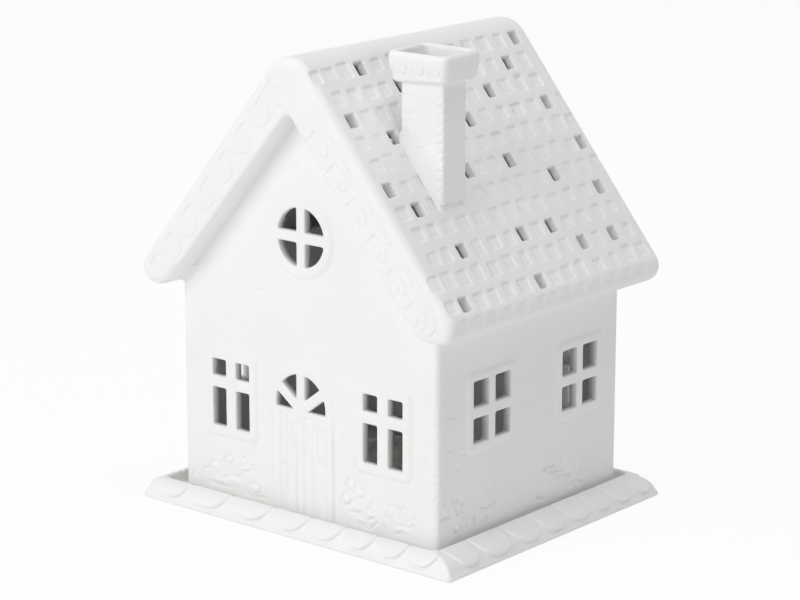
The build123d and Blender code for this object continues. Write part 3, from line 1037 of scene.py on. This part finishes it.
def build_cup():
    """Pressed foil cup with a fluted side and a rolled rim."""
    outer = [(0, cup_low + 0.25), (12.5, cup_low + 0.25), (13.2, cup_low), (cup_radius - 0.9, cup_low)]
    outer += arc((cup_radius - 0.9, cup_low + 0.9), 0.9, -60, 0, 4)
    flutes = [(cup_radius, cup_low + height) for height in (2.0, 3.2, 6.0, 9.0, 12.0, 13.2)]
    rim = [(cup_radius, cup_top - 0.8)] + arc((cup_radius + 0.1, cup_top - 0.4), 0.4, -60, 160, 9)
    inner = [(cup_radius - cup_wall, cup_top - 0.7)]
    inner += [(cup_radius - cup_wall, cup_low + height) for height in (13.2, 12.0, 9.0, 6.0, 3.2, 2.0)]
    inner += [(cup_radius - cup_wall, cup_low + 1.2), (cup_radius - 1.3, cup_low + cup_wall)]
    inner += [(13.0, cup_low + cup_wall), (12.3, cup_low + 0.65), (0, cup_low + 0.65)]
    profile = outer + flutes + rim + inner
    fluted = [3.2 < height - cup_low < 12.5 and radius > cup_radius - 0.5 for radius, height in profile]

    def wave(index, turn):
        return -flute_depth * (0.5 - 0.5 * cos(flute_count * turn)) if fluted[index] else 0

    cup = lathe("foil_cup", profile, flute_count * 6, wave)
    return finish_piece(cup, "tealight", "tealight_cup")


def build_wax():
    """Poured wax that climbs a little at the cup and at the wick."""
    side = cup_radius - cup_wall - flute_depth - 0.05
    bottom = cup_low + 0.9
    skin = ((side, 0.35), (side - 0.3, 0.05), (side - 1.1, 0.5), (side - 3, 0.75), (11, 0.8), (6, 0.72),
            (3.2, 0.55), (1.8, 0.25), (0.95, 0))
    profile = [(1.3, bottom), (side - 1, bottom), (side, bottom + 1)]
    profile += [(radius, wax_top - depth) for radius, depth in skin]
    return finish_piece(lathe("poured_wax", profile, 96), "tealight", "tealight_wax")


def build_wick():
    """Waxed cotton wick of three twisted strands, trimmed a little unevenly."""
    levels = 90
    profile = [(0, wick_low), (0.5, wick_low)]
    rise = (wick_top - 0.35 - wick_low) / levels
    profile += [(0.66, wick_low + 0.1 + rise * step) for step in range(levels)]
    profile += [(0.58, wick_top - 0.15), (0.34, wick_top), (0, wick_top - 0.12)]

    def wave(index, turn):
        strand = abs(cos(1.5 * turn - 0.19 * index))
        fray = 0.05 * sin(7 * turn + 1.3 * index)
        return (0.13 * strand + 0.4 * fray) if 1 < index < len(profile) - 1 else 0

    return finish_piece(lathe("cotton_wick", profile, 48, wave), "tealight", "tealight_wick")


def build_sustainer():
    """Tinned foot with a pressed ring and a collar crimped round the wick."""
    low = cup_low + cup_wall + 0.26
    plate = ((0.9, 0), (sustainer_radius, 0), (sustainer_radius, 0.25), (4.6, 0.25), (4.2, 0.5), (3.6, 0.5),
             (3.2, 0.25), (1.6, 0.3), (1.3, 0.6))
    collar = ((1.25, 2.5), (1.15, 2.74), (0.95, 2.74), (0.88, 2.5))
    profile = [(radius, low + height) for radius, height in plate + collar]

    def wave(index, turn):
        return -0.08 * abs(cos(2 * turn)) if index == len(plate) else 0

    foot_plate = lathe("wick_foot", profile, 64, wave)
    return finish_piece(foot_plate, "tealight", "wick_sustainer")


def finish_piece(piece, body, node):
    """Put a piece in place of its node, on its body."""
    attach(piece, body)
    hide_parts(node)
    return piece


# Materials from noise; a grain is its features a metre, its detail and its stretch along Z

noise_span = (0.3, 0.7)


def noise(tree, place, scale, detail, stretch=1.0):
    """Noise values over the object's own coordinates."""
    mapping = tree.nodes.new("ShaderNodeMapping")
    mapping.inputs["Scale"].default_value = (1, 1, stretch)
    tree.links.new(place, mapping.inputs["Vector"])
    texture = tree.nodes.new("ShaderNodeTexNoise")
    texture.inputs["Scale"].default_value = scale
    texture.inputs["Detail"].default_value = detail
    tree.links.new(mapping.outputs["Vector"], texture.inputs["Vector"])
    return texture.outputs["Fac"]


def blend_colours(tree, share, dark, light):
    """A colour that runs from dark to light with a noise value."""
    ramp = tree.nodes.new("ShaderNodeValToRGB")
    for element, place, colour in zip(ramp.color_ramp.elements, noise_span, (dark, light)):
        element.position = place
        element.color = (*colour, 1)
    tree.links.new(share, ramp.inputs["Fac"])
    return ramp.outputs["Color"]


def blend_values(tree, share, low, high):
    """A number that runs from low to high with a noise value."""
    spread = tree.nodes.new("ShaderNodeMapRange")
    for name, value in zip(("From Min", "From Max", "To Min", "To Max"), (*noise_span, low, high)):
        spread.inputs[name].default_value = value
    tree.links.new(share, spread.inputs["Value"])
    return spread.outputs["Result"]


def stack_bumps(tree, place, bumps, shader):
    """Bumps one over another on the shader; each is a grain and its reach in metres."""
    normal = None
    for grain, reach in bumps:
        node = tree.nodes.new("ShaderNodeBump")
        node.inputs["Distance"].default_value = reach
        tree.links.new(noise(tree, place, *grain), node.inputs["Height"])
        if normal:
            tree.links.new(normal, node.inputs["Normal"])
        normal = node.outputs["Normal"]
    tree.links.new(normal, shader.inputs["Normal"])


def make_material(name, colours, roughness, bumps, metallic=0.0):
    """Colours are a grain, dark and light; roughness is a grain, low and high, or one number."""
    material = bpy.data.materials.new(name)
    material.use_nodes = True
    tree = material.node_tree
    shader = tree.nodes["Principled BSDF"]
    shader.inputs["Metallic"].default_value = metallic
    place = tree.nodes.new("ShaderNodeTexCoord").outputs["Object"]
    grain, dark, light = colours
    tree.links.new(blend_colours(tree, noise(tree, place, *grain), dark, light), shader.inputs["Base Color"])
    if isinstance(roughness, float):
        shader.inputs["Roughness"].default_value = roughness
    else:
        grain, low, high = roughness
        tree.links.new(blend_values(tree, noise(tree, place, *grain), low, high), shader.inputs["Roughness"])
    stack_bumps(tree, place, bumps, shader)
    return material


def bisque(name, dark, light):
    """Unglazed white porcelain: faint clouding, a fine tooth and slight waviness from the mould."""
    return make_material(name, ((45, 4), dark, light), ((160, 3), 0.52, 0.68),
                         (((90, 1), 0.00012), ((1400, 2), 0.00001)))


def foil():
    """Bright rolled aluminium with fine draw lines up its side."""
    lines = (2600, 2, 0.05)
    return make_material("foil", ((220, 3), (0.76, 0.76, 0.77), (0.84, 0.84, 0.85)), (lines, 0.22, 0.4),
                         ((lines, 0.00001),), metallic=1.0)


def paraffin():
    """Poured wax, slightly see-through, with a mottled skin."""
    material = make_material("paraffin", ((260, 5), (0.84, 0.83, 0.79), (0.9, 0.89, 0.86)),
                             ((500, 3), 0.3, 0.5), (((350, 3), 0.00015),))
    shader = material.node_tree.nodes["Principled BSDF"]
    shader.inputs["Subsurface Weight"].default_value = 0.25
    shader.inputs["Subsurface Scale"].default_value = 0.004
    return material


def cotton():
    """Waxed cotton yarn with fine fibres."""
    fibres = (5000, 3, 0.2)
    colours = (fibres, (0.74, 0.71, 0.63), (0.88, 0.86, 0.8))
    return make_material("cotton", colours, 0.85, ((fibres, 0.00008),))


def tinned_steel():
    """Thin pressed plate with a dull, slightly spotted tin skin."""
    return make_material("tinned_steel", ((900, 4), (0.52, 0.52, 0.52), (0.66, 0.66, 0.65)),
                         ((1500, 3), 0.28, 0.5), (((3000, 2), 0.00001),), metallic=1.0)


# Camera, light and floor

camera_yaw = radians(39.823)
camera_pitch = radians(14.495)
camera_roll = radians(0.045)
camera_place = (-0.451, 72.931, 1045.932)
camera_lens = 126.297
floor_half = 8.0
floor_colour = (0.93, 0.93, 0.93)
floor_white_share = 0.92
ambient_strength = 0.36


def make_camera():
    """The photograph's view, turned about the origin; the place is on the camera's own axes."""
    turn = Matrix.Rotation(camera_yaw, 4, "Z") @ Matrix.Rotation(pi / 2 - camera_pitch, 4, "X")
    turn = turn @ Matrix.Rotation(camera_roll, 4, "Z")
    data = bpy.data.cameras.new("camera")
    data.lens = camera_lens
    data.clip_start = 0.05
    data.clip_end = 50.0
    camera = add_object("camera", data)
    camera.matrix_world = turn @ Matrix.Translation(MM * Vector(camera_place))
    bpy.context.scene.camera = camera


def seen_as_white(tree, surface, share):
    """Mix a share of plain white into what camera, glossy and transmission rays see of a surface."""
    nodes, links = tree.nodes, tree.links
    path = nodes.new("ShaderNodeLightPath")
    rays = path.outputs["Is Camera Ray"]
    for name in ("Is Glossy Ray", "Is Transmission Ray"):
        either = nodes.new("ShaderNodeMath")
        either.operation = "MAXIMUM"
        links.new(rays, either.inputs[0])
        links.new(path.outputs[name], either.inputs[1])
        rays = either.outputs[0]
    part = nodes.new("ShaderNodeMath")
    part.operation = "MULTIPLY"
    part.inputs[1].default_value = share
    links.new(rays, part.inputs[0])
    output = nodes.get("World Output") or nodes.get("Material Output")
    white = nodes.new("ShaderNodeBackground" if output.name == "World Output" else "ShaderNodeEmission")
    white.inputs["Color"].default_value = (1, 1, 1, 1)
    white.inputs["Strength"].default_value = 1.0
    mix = nodes.new("ShaderNodeMixShader")
    links.new(part.outputs[0], mix.inputs["Fac"])
    links.new(surface, mix.inputs[1])
    links.new(white.outputs[0], mix.inputs[2])
    links.new(mix.outputs[0], output.inputs["Surface"])


def make_floor():
    """A plain pale floor, seen nearly white but for the object's shadow."""
    mesh = bpy.data.meshes.new("floor")
    corners = ((-1, -1), (1, -1), (1, 1), (-1, 1))
    mesh.from_pydata([(floor_half * x, floor_half * y, 0) for x, y in corners], [], [(0, 1, 2, 3)])
    floor = add_object("floor", mesh)
    material = bpy.data.materials.new("floor")
    material.use_nodes = True
    shader = material.node_tree.nodes["Principled BSDF"]
    shader.inputs["Base Color"].default_value = (*floor_colour, 1)
    shader.inputs["Roughness"].default_value = 0.9
    seen_as_white(material.node_tree, shader.outputs[0], floor_white_share)
    mesh.materials.append(material)


def make_lamp(name, place, aim_height, size, power):
    """A round lamp that shines on the Z axis at a height."""
    data = bpy.data.lights.new(name, "AREA")
    data.shape = "DISK"
    data.size = size
    data.energy = power
    lamp = add_object(name, data)
    lamp.location = place
    lamp.rotation_euler = (Vector(place) - Vector((0, 0, aim_height))).to_track_quat("Z", "Y").to_euler()


def make_world():
    """Even pale light from all round, seen as white."""
    world = bpy.data.worlds.new("studio")
    bpy.context.scene.world = world
    world.use_nodes = True
    ambient = world.node_tree.nodes["Background"]
    ambient.inputs["Color"].default_value = (1, 1, 1, 1)
    ambient.inputs["Strength"].default_value = ambient_strength
    seen_as_white(world.node_tree, ambient.outputs[0], 1.0)


house_white = bisque("house_bisque", (0.888, 0.890, 0.878), (0.908, 0.908, 0.900))
tray_white = bisque("tray_bisque", (0.888, 0.890, 0.880), (0.908, 0.908, 0.900))

# Pieces and scene

builds = (
    (build_house, house_white),
    (build_chimney, house_white),
    (build_tray, tray_white),
    (build_cup, foil()),
    (build_wax, paraffin()),
    (build_wick, cotton()),
    (build_sustainer, tinned_steel()),
)
for build, material in builds:
    build().data.materials.append(material)
make_camera()
make_floor()
make_world()
make_lamp("key", (-0.46, -1.82, 0.98), aim_height=0.08, size=1.7, power=20.2)
make_lamp("top", (0.2, 0.1, 1.98), aim_height=0.06, size=1.4, power=12.2)
make_lamp("side", (2.0, -0.5, 0.25), aim_height=0.08, size=1.2, power=3.6)
bpy.context.scene.view_settings.view_transform = "Standard"
